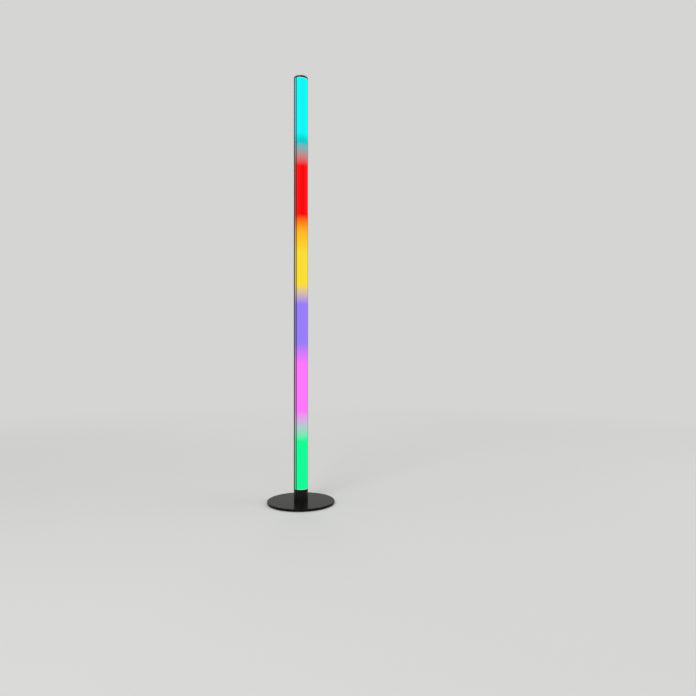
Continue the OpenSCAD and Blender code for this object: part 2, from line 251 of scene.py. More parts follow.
def finish(name):
    """A new material from the table of finishes, in the user's colour."""
    key, roughness, size_mm, lighter, relief_mm, options = FINISHES[name]
    rgb = getattr(settings().colours, key)
    return patterned(name, rgb, roughness, size_mm, lighter, relief_mm, **options)


def patterned(name, rgb, roughness, size_mm, lighter, relief_mm, texture="TexNoise", output=0,
              stretch=(1, 1, 1), detail=None, **sockets):
    """A material that follows a texture on the piece itself, whose cells are size_mm wide."""
    material = new_material(name, rgb, roughness[0], **sockets)
    place = add_node(material, "TexCoord")
    scale = [1 / (size_mm * MM * along) for along in stretch]
    scaled = add_node(material, "Mapping", {"Vector": place.outputs["Object"], "Scale": scale})
    inputs = {"Vector": scaled, "Scale": 1.0}
    if detail:
        inputs["Detail"] = detail
    cells = add_node(material, texture, inputs)
    vary(material, cells.outputs[output], rgb, lighter, roughness, relief_mm)
    return material


# Each finish by its name: its colour in LampColours, the range of its roughness, the size of its
# pattern in millimetres, how much lighter the pattern gets, its relief in millimetres, and what
# else sets it apart.
FINISHES = {
    # Polyester powder coat baked on steel: satin black with a fine orange peel, which blurs
    # what it mirrors. The peel is about 0.6 mm wide on the real plate, and is drawn at 1.4 mm,
    # so that it shows.
    "powder_coated_steel": ("base_coat", (0.17, 0.24), 1.4, 1.3, 0.006, dict(
        IOR=1.5, Specular_IOR_Level=0.045)),
    # Extruded aluminium, dyed black in the anodising bath: a satin sheen over faint die lines
    # that run the length of the profile, about 0.7 mm apart.
    "black_anodised_aluminium": ("anodising", (0.34, 0.42), 0.7, 1.25, 0.002, dict(
        stretch=(1, 1, 120), detail=1, Metallic=0.3, Specular_IOR_Level=0.3)),
    # Injection-moulded ABS with a fine spark-eroded texture and polished, rounded edges. Its
    # grain is about 0.3 mm on the real cap, and is drawn at 0.7 mm, so that it shows.
    "moulded_abs": ("cap_plastic", (0.3, 0.42), 0.7, 1.2, 0.006, dict(IOR=1.54)),
    # Closed-cell EVA foam cut from sheet: matt, with cut cells about 0.6 mm wide.
    "eva_foam": ("foam", (0.9, 1.0), 0.6, 1.6, 0.08, dict(
        texture="TexVoronoi", IOR=1.45, Specular_IOR_Level=0.2)),
    # Moulded nitrile rubber: dull black with a soft grey bloom.
    "nitrile_rubber": ("rubber", (0.62, 0.8), 2.5, 1.7, 0.01, dict(detail=4, IOR=1.52)),
    # Steel with black oxide: a dark metal, dry in its hollows and rubbed where it is touched.
    "black_oxide_steel": ("screw", (0.46, 0.3), 0.9, 1.8, 0, dict(detail=4, Metallic=0.9)),
    # Zinc-plated steel: a bright, slightly uneven metal.
    "zinc_plated_steel": ("zinc", (0.24, 0.4), 1.2, 0.8, 0, dict(detail=3, Metallic=1)),
    # Moulded natural nylon: a waxy cream with a little light inside its edges.
    "natural_nylon": ("nylon", (0.4, 0.5), 1.5, 0.94, 0.004, dict(
        IOR=1.53, Subsurface_Weight=0.15, Subsurface_Scale=0.6 * MM)),
    # Ceramic-filled acrylic tape: matt grey with the glass weave of its carrier, 0.5 mm apart.
    # The checker's second output is its plain pattern.
    "thermal_tape": ("tape", (0.8, 0.9), 0.5, 0.9, 0.02, dict(
        texture="TexChecker", output=1, IOR=1.47)),
    # White polyimide cover film over copper: smooth, with a faint mottle of its adhesive.
    "white_cover_film": ("film", (0.38, 0.5), 2.0, 0.93, 0.003, dict(IOR=1.6)),
    # White thermoplastic of a light chip: a dense, even, softly shining white.
    "white_package_resin": ("package", (0.35, 0.45), 0.8, 0.95, 0, dict(IOR=1.55)),
    # Clear silicone over a silvered frame: pale metal under a wet, glossy skin.
    "window_resin": ("window", (0.2, 0.3), 0.25, 1.1, 0, dict(
        Metallic=0.7, Coat_Weight=0.6, Coat_IOR=1.41)),
    # Photoimaged epoxy over the laminate: deep green, glossy, with a fine flow texture.
    "green_solder_mask": ("mask", (0.22, 0.34), 1.0, 1.2, 0.003, dict(IOR=1.55)),
    # Copper under the solder mask: the same gloss, lighter where the metal shows through.
    "covered_copper": ("copper", (0.2, 0.3), 0.6, 1.15, 0, dict(IOR=1.55)),
    # Routed edge of glass-epoxy laminate: dull straw with its plies 0.2 mm apart.
    "glass_epoxy": ("laminate", (0.6, 0.8), 0.2, 0.8, 0.02, dict(stretch=(12, 1, 12), IOR=1.55)),
    # Tin flowed over copper: a bright, rippled metal that has begun to dull.
    "tinned_copper": ("tin", (0.22, 0.38), 0.5, 0.85, 0.01, dict(Metallic=1)),
    # Filled epoxy pressed round a chip: a fine matt grain with a few glassy specks.
    "chip_epoxy": ("resin", (0.5, 0.62), 0.18, 1.5, 0.004, dict(detail=3, IOR=1.56)),
    # Rolled nickel silver: soft grey metal with the rolling lines of the sheet, 0.1 mm apart.
    "nickel_silver": ("shield", (0.28, 0.4), 0.1, 0.88, 0.003, dict(
        stretch=(60, 1, 1), Metallic=1)),
    # Aluminium drawn into a can: bright, with lines down its side, 0.15 mm apart.
    "drawn_aluminium": ("can", (0.22, 0.34), 0.15, 0.9, 0.003, dict(
        stretch=(1, 40, 1), Metallic=1)),
    # Ink printed and cured on the can and the strip: a dark, thin, satin film.
    "printed_ink": ("stripe", (0.4, 0.5), 0.4, 1.3, 0, dict(IOR=1.5)),
    # Fired ceramic of the small board parts: brown-black, dense and dull.
    "fired_ceramic": ("ceramic", (0.5, 0.65), 0.2, 1.4, 0.003, dict(IOR=1.6)),
    # Brass drawn to square wire: warm metal with fine drawing lines, 0.08 mm apart.
    "stamped_brass": ("brass", (0.2, 0.34), 0.08, 0.85, 0.002, dict(
        stretch=(1, 1, 30), Metallic=1)),
}
# Extruded PVC round a stranded lead: soft gloss, and the strands just show as ripples.
FINISHES.update({
    lead + "_insulation": ("lead_" + lead, (0.35, 0.48), 0.35, 1.12, 0.008, dict(
        stretch=(1, 1, 14), IOR=1.53))
    for lead in ("supply", "data", "return")
})


# Where each zone of the light is even, in millimetres above the floor, from the bottom up.
# Between them the light of the two zones mixes.
LIGHT_ZONES = (
    ("green", 178), ("pink", 262), ("pink", 396), ("violet", 452), ("violet", 560),
    ("yellow", 615), ("yellow", 702), ("amber", 764), ("red", 810), ("red", 948),
    ("teal", 1014), ("cyan", 1040),
)
# Level of the glow, and its share of white, by degrees from the front. The lips of the mouth leave a
# dark seam outside the lit face, and beyond it the wings catch the strip's light again. The share of
# white, on the edges of the lit face and on the wings, is a painted highlight.
GLOW_ACROSS = ((51, 1.0), (52.5, 0.2), (61, 0.2), (62.5, 0.66), (75, 0.66))
PAINTED_HIGHLIGHT_ACROSS = ((42, 0.0), (48, 0.02), (52, 0.02), (62, 0.06))
SIDE_ON = 90          # degrees from the front at the lamp's side
# A painted highlight at each end of the diffuser: a band in which the light is mixed with white.
END_HIGHLIGHT_MM = 2.4     # height of the brighter lip at each end of the diffuser
END_PAINTED_HIGHLIGHT = 0.3       # its share of white


def opal_acrylic(light):
    """Extruded opal acrylic over the light strip: a matt, even glow in blended colour zones.

    Its base colour is painted with the light's colour at a low share, so that it stays deep under
    studio light. This is painted light: the opal plastic itself is white."""
    material = new_material(
        "opal_acrylic", linear("#808080"), 0.42, IOR=1.49, Specular_IOR_Level=0.05
    )
    add = partial(add_node, material)
    low, high = (corner.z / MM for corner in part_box("diffuser"))
    place = add("TexCoord")
    xyz = add("SeparateXYZ", {0: place.outputs["Object"]})
    height = xyz.outputs["Z"]
    up = add("MapRange", {"Value": height, "From Min": low * MM, "From Max": high * MM})
    zones = add("ValToRGB", {0: up}, [
        ((at - low) / (high - low), getattr(light, name)) for name, at in LIGHT_ZONES
    ])

    forward = add("Math", {0: xyz.outputs["Y"], 1: -1.0}, operation="MULTIPLY")
    turn = add("Math", {0: xyz.outputs["X"], 1: forward}, operation="ARCTAN2")
    side = add("Math", {0: turn}, operation="ABSOLUTE")
    across = add("MapRange", {"Value": side, "From Max": math.radians(SIDE_ON)})
    glow, white = (
        add("ValToRGB", {0: across}, [
            (degrees / SIDE_ON, (value,) * 3) for degrees, value in values
        ])
        for values in (GLOW_ACROSS, PAINTED_HIGHLIGHT_ACROSS)
    )
    # The painted highlight at the ends, and across the edges and wings, as a share of white.
    foot, head = (
        add("MapRange", {
            "Value": height, "From Min": edge * MM, "From Max": inner * MM,
            "To Min": END_PAINTED_HIGHLIGHT, "To Max": 0.0,
        })
        for edge, inner in ((low, low + END_HIGHLIGHT_MM), (high, high - END_HIGHLIGHT_MM))
    )
    ends = add("Math", {0: foot, 1: head}, operation="MAXIMUM")
    pale = add("Math", {0: ends, 1: white}, operation="MAXIMUM")

    # The zones' colours mixed with white: a painted highlight on the edges, the wings and the ends.
    lit = add("Mix", {"Factor": pale, "A": zones, "B": (1, 1, 1, 1)}, data_type="RGBA")
    emitted = add(
        "Mix", {"Factor": 1.0, "A": lit, "B": glow}, data_type="RGBA", blend_type="MULTIPLY"
    )
    feed(material, "Emission Color", emitted)
    only(material).inputs["Emission Strength"].default_value = light.level
    # Painted light: the base colour is the zones' light colour, darkened to a small share, in place
    # of the white of the opal plastic.
    painted_light_tint = (*(light.painted_light_tint,) * 3, 1)
    painted_light_base = add(
        "Mix", {"Factor": 1.0, "A": zones, "B": painted_light_tint}, data_type="RGBA", blend_type="MULTIPLY"
    )
    feed(material, "Base Color", painted_light_base)
    return material


# -------- mesh work, in millimetres

FACING_FRONT = Matrix.Rotation(math.pi / 2, 4, "X")
FACING_REAR = Matrix.Rotation(math.pi, 4, "Z") @ FACING_FRONT
UPSIDE_DOWN = Matrix.Rotation(math.pi, 4, "X")
QUARTER_TURNS = [Matrix.Rotation(turn * math.pi / 2, 4, "Z") for turn in range(4)]
MERGE = 0.001                  # vertices nearer than this are one
FLAT = math.radians(0.2)       # triangles that turn less than this are one face
CREASE = math.radians(30)      # edges that turn more than this stay sharp to the eye
EDGE = math.radians(40)        # edges that turn more than this are softened
SUNK = 0.05                    # how far a raised detail starts below what it lies on


def at(x, y, z):
    """The matrix that moves something to a point."""
    return Matrix.Translation((x, y, z))


def paint(verts, material):
    """Gives the faces round some vertices one of the piece's materials."""
    for face in {face for vert in verts for face in vert.link_faces}:
        face.material_index = material


def block(bm, low, high, material=0, soft=0.0):
    """A box between two corners, with its edges softened."""
    low, high = Vector(low), Vector(high)
    size = [abs(side) for side in high - low]
    place = Matrix.Translation((low + high) / 2) @ Matrix.Diagonal((*size, 1))
    verts = bmesh.ops.create_cube(bm, size=1, matrix=place)["verts"]
    paint(verts, material)
    if soft:
        edges = list(dict.fromkeys(edge for vert in verts for edge in vert.link_edges))
        bmesh.ops.bevel(
            bm, geom=edges, offset=soft, segments=2, affect="EDGES", profile=0.5, material=-1
        )


def disc(bm, radius, thickness, place, material=0, sides=20):
    """A thin round plate that stands on the place's ground."""
    verts = bmesh.ops.create_cone(
        bm, cap_ends=True, segments=sides, radius1=radius, radius2=radius, depth=thickness,
        matrix=place @ at(0, 0, thickness / 2),
    )["verts"]
    paint(verts, material)


def turned(bm, profile, steps=40):
    """Spins a profile of radius and height pairs round Z."""
    verts = [bm.verts.new((radius, 0, height)) for radius, height in profile]
    edges = [bm.edges.new(pair) for pair in zip(verts, verts[1:])]
    bmesh.ops.spin(
        bm, geom=verts + edges, cent=(0, 0, 0), axis=(0, 0, 1), angle=math.tau, steps=steps,
        use_merge=True,
    )
    bmesh.ops.remove_doubles(bm, verts=bm.verts, dist=MERGE)


def swept(corners, angle, steps, rise=0.0):
    """Sweeps a closed profile of radius and height pairs round Z and closes its two ends.

    It climbs by the rise at each step."""
    bm = bmesh.new()
    verts = [bm.verts.new((radius, 0, height)) for radius, height in corners]
    edges = [bm.edges.new(pair) for pair in zip(verts, verts[1:] + verts[:1])]
    bmesh.ops.spin(
        bm, geom=verts + edges, cent=(0, 0, 0), axis=(0, 0, 1), dvec=(0, 0, rise), angle=angle,
        steps=steps,
    )
    bmesh.ops.holes_fill(bm, edges=open_edges(bm))
    return bm


def open_edges(bm):
    """The edges that have a face on one side only."""
    return [edge for edge in bm.edges if edge.is_boundary]


def loop(bm, sides, width, height, place):
    """The edges of a polygon of a width and a height, such as a rectangle or a circle."""
    turn = math.pi / sides
    spread = Matrix.Diagonal((width, height, 1, 1)) @ Matrix.Rotation(turn, 4, "Z")
    verts = bmesh.ops.create_circle(
        bm, segments=sides, radius=0.5 / math.cos(turn), matrix=place @ spread
    )["verts"]
    return list(dict.fromkeys(edge for vert in verts for edge in vert.link_edges))


def punch(bm, rim, holes, depth, taper=1.0, material=0):
    """Fills the flat face inside a rim but for its holes, and sinks the holes by a vector."""
    edges = rim + [edge for hole in holes for edge in hole]
    bmesh.ops.triangle_fill(bm, use_beauty=True, edges=edges)
    for hole in holes:
        made = bmesh.ops.extrude_edge_only(bm, edges=hole)["geom"]
        verts = [item for item in made if isinstance(item, bmesh.types.BMVert)]
        floor = [
            item for item in made
            if isinstance(item, bmesh.types.BMEdge) and all(v in verts for v in item.verts)
        ]
        centre = sum((vert.co for vert in verts), Vector()) / len(verts)
        bmesh.ops.scale(bm, vec=(taper,) * 3, space=Matrix.Translation(-centre), verts=verts)
        bmesh.ops.translate(bm, vec=depth, verts=verts)
        for face in bmesh.ops.contextual_create(bm, geom=floor)["faces"]:
            face.material_index = material


def housing(low, high, soft, face, holes, depth, taper=1.0, floor=0):
    """A softened block with holes sunk into the side that a matrix lies on.

    A hole is its number of sides, its width and height and its place across and up."""
    bm = bmesh.new()
    block(bm, low, high, soft=soft)
    bm.normal_update()
    out = face.to_3x3() @ Vector((0, 0, 1))
    front = max(bm.faces, key=lambda side: side.normal.dot(out) * side.calc_area())
    rim = list(front.edges)
    bmesh.ops.delete(bm, geom=[front], context="FACES_ONLY")
    rings = [
        loop(bm, sides, width, height, face @ at(across, up, 0))
        for sides, width, height, across, up in holes
    ]
    punch(bm, rim, rings, -out * depth, taper, floor)
    return bm


def put(bm, part, *places):
    """Copies a part into a bmesh at each place, with its faces turned outwards."""
    bmesh.ops.recalc_face_normals(part, faces=part.faces)
    mesh = bpy.data.meshes.new("part")
    for place in places:
        copy = part.copy()
        copy.transform(place)
        copy.to_mesh(mesh)
        copy.free()
        bm.from_mesh(mesh)
    part.free()
    bpy.data.meshes.remove(mesh)


def cad_box(node):
    """The low and high corners of a CAD node."""
    return [Vector(corner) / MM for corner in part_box(node)]


def middle(low, high):
    """The point halfway between two corners."""
    return [(a + b) / 2 for a, b in zip(low, high)]


def cad_mesh(node):
    """A bmesh of a CAD node, with its loose triangles merged into whole faces."""
    bm = bmesh.new()
    bm.from_mesh(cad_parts[node].data)
    bmesh.ops.scale(bm, vec=(1 / MM,) * 3, verts=bm.verts)
    bmesh.ops.remove_doubles(bm, verts=bm.verts, dist=MERGE)
    bmesh.ops.dissolve_limit(bm, angle_limit=FLAT, verts=bm.verts, edges=bm.edges)
    return bm


def solids(node):
    """The low and high corners of each solid of a CAD node, from the bottom up, then from
    left to right."""
    bm = cad_mesh(node)
    boxes, seen = [], set()
    for first in bm.verts:
        if first in seen:
            continue
        seen.add(first)
        solid = [first]
        for vert in solid:      # the list grows as its neighbours are found
            for other in (edge.other_vert(vert) for edge in vert.link_edges):
                if other not in seen:
                    seen.add(other)
                    solid.append(other)
        boxes.append([
            Vector([end(vert.co[axis] for vert in solid) for axis in range(3)])
            for end in (min, max)
        ])
    bm.free()
    return sorted(boxes, key=lambda box: [round(box[0][axis], 2) for axis in (2, 0, 1)])


def new_object(name, data):
    """An object of the scene."""
    item = bpy.data.objects.new(name, data)
    bpy.context.scene.collection.objects.link(item)
    return item


def new_piece(name, bm, *materials):
    """An object at the origin from a finished bmesh, smooth but for its sharper edges."""
    bmesh.ops.scale(bm, vec=(MM,) * 3, verts=bm.verts)
    mesh = bpy.data.meshes.new(name)
    bm.to_mesh(mesh)
    bm.free()
    mesh.shade_smooth()
    mesh.set_sharp_from_angle(angle=CREASE)
    for material in materials:
        mesh.materials.append(material)
    return new_object(name, mesh)


def fit(piece, slot, *nodes):
    """Makes the piece part of the lamp, in place of the given CAD nodes."""
    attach(piece, BODY)
    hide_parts(*nodes)


def lamp_piece(name, bm, slot, node, *finishes):
    """A piece of the lamp from a finished bmesh and the names of its finishes.

    A face's material is the place of its finish among them, from 0."""
    piece = new_piece(name, bm, *map(finish, finishes))
    fit(piece, slot, node)
    return piece


def soften(piece, width):
    """Rounds the sharp edges of a piece, as tumbling or moulding leaves them."""
    bevel = piece.modifiers.new("Soft edges", "BEVEL")
    bevel.width = width
    bevel.segments = 2
    bevel.limit_method = "ANGLE"
    bevel.angle_limit = EDGE


def finished_node(node, name, slot, material, width=0):
    """A CAD node with softened edges and its real finish."""
    piece = new_piece(name, cad_mesh(node), material)
    if width:
        soften(piece, width)
    shading = piece.modifiers.new("Flat faces", "WEIGHTED_NORMAL")
    shading.keep_sharp = True
    fit(piece, slot, node)


# -------- stage

def make_floor(stage):
    """A pale floor that runs into the background far from the lamp."""
    radius_mm, clear, faded = 9000, 0.6, 3.0     # the fade runs from clear to faded, in metres
    bm = bmesh.new()
    bmesh.ops.create_circle(bm, cap_ends=True, segments=96, radius=radius_mm)
    material = new_material("matt_floor", stage.floor, 0.9, Specular_IOR_Level=0.0)
    add = partial(add_node, material)
    place = add("TexCoord")
    away = add("VectorMath", {0: place.outputs["Object"]}, operation="LENGTH")
    fade = add(
        "MapRange", {"Value": away.outputs["Value"], "From Min": clear, "From Max": faded},
        interpolation_type="SMOOTHSTEP",
    )
    far = add("Emission", {"Color": (*stage.background, 1)})
    blend = add("MixShader", {0: fade, 1: only(material), 2: far})
    feed(material, 0, blend, "OUTPUT_MATERIAL")
    new_piece("floor", bm, material)


def make_world(stage):
    """Even light from all round, with the pale background where the camera looks."""
    world = bpy.data.worlds.new("studio")
    bpy.context.scene.world = world
    world.use_nodes = True
    light = only(world, "BACKGROUND")
    light.inputs["Color"].default_value = (1, 1, 1, 1)
    light.inputs["Strength"].default_value = stage.world_level
    add = partial(add_node, world)
    seen = add("Background", {"Color": (*stage.background, 1)})
    ray = add("LightPath").outputs
    shown = add("Math", {0: ray["Is Camera Ray"], 1: ray["Is Glossy Ray"]}, operation="MAXIMUM")
    shown = add("Math", {0: shown, 1: ray["Is Transmission Ray"]}, operation="MAXIMUM")
    blend = add("MixShader", {0: shown, 1: light, 2: seen})
    feed(world, 0, blend, "OUTPUT_WORLD")


def make_lights(stage):
    """A soft key light above on the left, a wider fill on the right and one behind.

    Places and sizes are in metres, and all three point at the middle of the lamp."""
    target = Vector((0, 0, 0.55))
    for name, place, size, power in (
        ("key", (-1.9, -1.9, 2.3), 1.6, stage.key_power),
        ("fill", (2.4, -1.2, 1.5), 2.2, stage.fill_power),
        ("back", (0.6, 2.4, 2.2), 2.0, stage.fill_power),
    ):
        lamp = bpy.data.lights.new(name, "AREA")
        lamp.shape = "DISK"
        lamp.size = size
        lamp.energy = power
        light = new_object(name, lamp)
        light.location = place
        light.rotation_euler = (target - light.location).to_track_quat("-Z", "Y").to_euler()


def make_camera(stage):
    """A level camera at the photograph's angle, to the right of the lamp's axis."""
    camera = new_object("camera", bpy.data.cameras.new("camera"))
    bpy.context.scene.camera = camera
    turn = stage.azimuth
    back = Vector((math.sin(turn), -math.cos(turn), 0))
    right = Vector((math.cos(turn), math.sin(turn), 0))
    camera.location = (
        stage.distance * back + stage.offset * right + Vector((0, 0, stage.height))
    )
    camera.rotation_euler = (math.pi / 2, 0, turn)
    camera.data.sensor_width = 36
    camera.data.lens = stage.lens


class LAMP_OT_stage(bpy.types.Operator):
    """Lays the floor, lights the lamp and places the camera"""

    bl_idname = "lamp.stage"
    bl_label = "Stage"

    def execute(self, context):
        stage = settings().stage
        make_floor(stage)
        make_world(stage)
        make_lights(stage)
        make_camera(stage)
        context.scene.view_settings.view_transform = "Standard"
        return {"FINISHED"}


# -------- base

class LAMP_OT_base(bpy.types.Operator):
    """Finishes the base plate and the pad under it"""

    bl_idname = "lamp.base"
    bl_label = "Base"

    def execute(self, context):
        sizes = settings().sizes
        finished_node(
            "base_plate", "coated_base_plate", "base_enamel", finish("powder_coated_steel"),
            sizes.edge_break,
        )
        finished_node("base_pad", "foam_pad", "pad_foam", finish("eva_foam"), sizes.rubber_edge)
        return {"FINISHED"}


class LAMP_OT_collar(bpy.types.Operator):
    """Finishes the collar and its cable grommet"""

    bl_idname = "lamp.collar"
    bl_label = "Collar"

    def execute(self, context):
        sizes = settings().sizes
        finished_node(
            "collar", "anodised_collar", "black_anodised", finish("black_anodised_aluminium"),
            sizes.edge_break,
        )
        finished_node(
            "cable_grommet", "rubber_grommet", "grommet_rubber", finish("nitrile_rubber"),
            sizes.rubber_edge,
        )
        return {"FINISHED"}


class LAMP_OT_tube(bpy.types.Operator):
    """Finishes the aluminium channel and the lit diffuser"""

    bl_idname = "lamp.tube"
    bl_label = "Light tube"

    def execute(self, context):
        finished_node(
            "back_channel", "anodised_channel", "black_anodised",
            finish("black_anodised_aluminium"),
        )
        light = opal_acrylic(settings().light)
        finished_node("diffuser", "lit_diffuser", "opal_diffuser", light)
        return {"FINISHED"}


class LAMP_OT_cap(bpy.types.Operator):
    """Finishes the top cap"""

    bl_idname = "lamp.cap"
    bl_label = "Top cap"

    def execute(self, context):
        finished_node(
            "top_cap", "moulded_cap", "cap_plastic", finish("moulded_abs"),
            settings().sizes.moulded_edge,
        )
        return {"FINISHED"}


# -------- screws and washers

# The screws of each node: the height of the head, the radius of the thread's crest, its core's
# as a share of that, the radius and height of the cone at the end, and the pitch in LampSizes.
MACHINE_SCREW = (2.6, 2.0, 0.785, (1.2, 0.4), "machine_pitch")
TAPPING_SCREW = (2.17, 1.75, 0.72, (0.2, 3.0), "tapping_pitch")
SCREWS = {
    "base_screws": MACHINE_SCREW, "collar_screws": TAPPING_SCREW, "cap_screws": TAPPING_SCREW
}
SOCKET_SHARE = 0.87      # width of a hexagon socket, as a share of the head's radius
SOCKET_DEEP = 0.6        # depth of the socket, as a share of the head's height
SOCKET_TAPER = 0.97      # width of the socket's floor, as a share of its mouth's
HEAD_CHAMFER = 0.3       # width of the chamfer round a screw's head
CREST_SHARE = 0.06       # half the flat on a thread's crest, as a share of its pitch
FOOT_SHARE = 0.49        # the most that half a ridge's foot takes of its pitch
FLANK = math.tan(math.radians(30))     # slope of a thread's flanks


def thread_ridge(root_r, crest_r, start, end, pitch, steps_per_turn):
    """The ridge of a thread that climbs round Z, sunk a little into its core."""
    inner_r = root_r - SUNK
    crest = CREST_SHARE * pitch
    foot = min(crest + (crest_r - inner_r) * FLANK, FOOT_SHARE * pitch)
    corners = [(inner_r, -foot), (crest_r, -crest), (crest_r, crest), (inner_r, foot)]
    turns = (end - start) / pitch
    steps = round(turns * steps_per_turn)
    return swept(
        [(radius, start + height) for radius, height in corners], turns * math.tau, steps,
        (end - start) / steps,
    )


def screw_part(head_r, head_h, length, crest_r, root_r, tip, pitch, steps_per_turn):
    """A screw that points up, with the underside of its head on Z = 0 and a hexagon socket."""
    bm = bmesh.new()
    tip_r, tip_h = tip
    turned(bm, [
        (0, length), (tip_r, length), (root_r, length - tip_h), (root_r, 0), (head_r, 0),
        (head_r, HEAD_CHAMFER - head_h), (head_r - HEAD_CHAMFER, -head_h),
    ])
    rim = open_edges(bm)
    width = head_r * SOCKET_SHARE
    socket = loop(bm, 6, width, width, at(0, 0, -head_h))
    punch(bm, rim, [socket], (0, 0, head_h * SOCKET_DEEP), SOCKET_TAPER)
    ridge = thread_ridge(root_r, crest_r, pitch / 2, length - tip_h, pitch, steps_per_turn)
    put(bm, ridge, Matrix())
    return bm


def make_screws(node, material):
    """The screws of a CAD node, each where its solid is. Only the cap's point down."""
    head_h, crest_r, root_share, tip, pitch = SCREWS[node]
    sizes, boxes = settings().sizes, solids(node)
    low, high = boxes[0]
    part = screw_part(
        (high.x - low.x) / 2, head_h, high.z - low.z - head_h, crest_r, crest_r * root_share,
        tip, getattr(sizes, pitch) / MM, sizes.thread_steps,
    )
    places = []
    for low, high in boxes:
        x, y, _ = middle(low, high)
        if node == "cap_screws":
            places.append(at(x, y, high.z - head_h) @ UPSIDE_DOWN)
        else:
            places.append(at(x, y, low.z + head_h))
    bm = bmesh.new()
    put(bm, part, *places)
    fit(new_piece("oxide_" + node, bm, material), "screw_steel", node)


def make_washers():
    """Split spring washers, pressed flat, with a slanted cut."""
    bore_r, split, slant, steps, edge = 2.05, math.radians(9), math.radians(7), 44, 0.08
    boxes = solids("base_washers")
    low, high = boxes[0]
    rim_r, thickness = (high.x - low.x) / 2, high.z - low.z
    corners = [(bore_r, 0), (rim_r, 0), (rim_r, thickness), (bore_r, thickness)]
    part = swept(corners, math.tau - split, steps)
    upper = [vert for vert in part.verts if vert.co.z > thickness / 2]
    bmesh.ops.rotate(part, matrix=Matrix.Rotation(slant, 3, "Z"), verts=upper)
    bm = bmesh.new()
    put(bm, part, *(at(*middle(low, high)[:2], low.z) for low, high in boxes))
    piece = lamp_piece("spring_washers", bm, "washer_steel", "base_washers", "zinc_plated_steel")
    soften(piece, edge * MM)


class LAMP_OT_screws(bpy.types.Operator):
    """Makes the screws and the spring washers"""

    bl_idname = "lamp.screws"
    bl_label = "Screws"

    def execute(self, context):
        steel = finish("black_oxide_steel")
        for node in SCREWS:
            make_screws(node, steel)
        make_washers()
        return {"FINISHED"}


# -------- light strip

TRACK = 0.03             # height of the copper tracks under their film
PAD = 0.06               # height of a tinned pad
LEG = 0.1                # how far a light chip's terminals stand out from its body


def small_part(width, length, height, body, metal):
    """A two-ended board part that stands on Z = 0, with its ends and their solder."""
    end, fillet, fillet_h, proud = 0.22 * width, 0.55 * length, 0.12, 0.02
    bm = bmesh.new()
    block(bm, (end - width / 2, -length / 2, 0), (width / 2 - end, length / 2, height), body, 0.04)
    for side in (-1, 1):
        near, far = side * (width / 2 - end), side * width / 2
        block(bm, (near, -length / 2, 0), (far, length / 2, height + proud), metal, 0.05)
        block(bm, (near, -fillet, 0), (far + side * end, fillet, fillet_h), metal, 0.04)
    return bm


def light_chip(front, back, half):
    """A light chip with its round window, dies, terminals and corner mark."""
    window_slot, die_slot, tin_slot = 1, 2, 3
    window, window_deep, mark, mark_at = 4.0, 0.3, 0.25, 1.95
    dies = ((-0.85, 0.55, 0.3), (0, 0.75, 0.3), (0.85, 0.55, 0.3), (0, -0.5, 0.8))
    terminals, terminal_half, terminal_deep = (-1.6, 0, 1.6), 0.45, 0.8
    face = at(0, front, 0) @ FACING_FRONT
    bm = housing(
        (LEG - half, front, -half), (half - LEG, back, half), 0.12, face,
        [(24, window, window, 0, 0), (3, mark, mark, -mark_at, mark_at)], window_deep,
        taper=0.94, floor=window_slot,
    )
    floor = front + window_deep
    for x, z, width in dies:
        block(
            bm, (x - width / 2, floor - 0.1, z - width / 2),
            (x + width / 2, floor + SUNK, z + width / 2), die_slot, 0.03,
        )
    for side in (-1, 1):
        for z in terminals:
            block(
                bm, (side * (half - 2 * LEG), back - terminal_deep, z - terminal_half),
                (side * half, back, z + terminal_half), tin_slot, 0.03,
            )
    return bm


def make_light_chips():
    """The light chips, one modelled and set in every place."""
    boxes = solids("led_chips")
    low, high = boxes[0]
    places = [middle(low, high) for low, high in boxes]
    bm = bmesh.new()
    chip = light_chip(low.y, high.y, (high.x - low.x) / 2)
    put(bm, chip, *(at(x, 0, z) for x, _, z in places))
    lamp_piece(
        "resin_light_chips", bm, "led_package", "led_chips", "white_package_resin",
        "window_resin", "chip_epoxy", "tinned_copper",
    )


def make_strip():
    """The strip's film over its copper tracks, with pads, cut lines and capacitors."""
    tin, ink, ceramic = 1, 2, 3
    tracks = ((-4.1, 1.0), (4.1, 1.0), (-1.5, 0.5), (1.5, 0.5))     # place across and width
    bare_end, pad_w, pad_h, first_pad, line, line_h = 0.5, 1.7, 3.4, 0.6, 0.16, 1.3 * PAD
    capacitor_below = 4.6
    low, high = cad_box("led_strip")
    front = low.y
    lead_places = [middle(*box)[0] for box in solids("strip_leads")]
    chip_places = [middle(*box)[2] for box in solids("led_chips")]
    pitch = chip_places[1] - chip_places[0]
    bm = bmesh.new()
    block(bm, low, high)
    for x, width in tracks:
        block(
            bm, (x - width / 2, front - TRACK, low.z + bare_end),
            (x + width / 2, front + SUNK, high.z - bare_end),
        )
    cuts = [z + pitch / 2 for z in chip_places[:-1]]
    for z in [low.z + first_pad + pad_h / 2, *cuts]:
        for x in lead_places:
            block(
                bm, (x - pad_w / 2, front - PAD, z - pad_h / 2),
                (x + pad_w / 2, front + SUNK, z + pad_h / 2), tin, 0.02,
            )
    for z in cuts:
        block(
            bm, (low.x, front - line_h, z - line / 2), (high.x, front + SUNK, z + line / 2), ink
        )
    ground = at(0, front, 0) @ FACING_FRONT
    put(bm, small_part(1.6, 0.8, 0.7, ceramic, tin), *(
        ground @ at(0, z - capacitor_below, 0) for z in chip_places
    ))
    lamp_piece(
        "covered_light_strip", bm, "strip_film", "led_strip", "white_cover_film",
        "tinned_copper", "printed_ink", "fired_ceramic",
    )


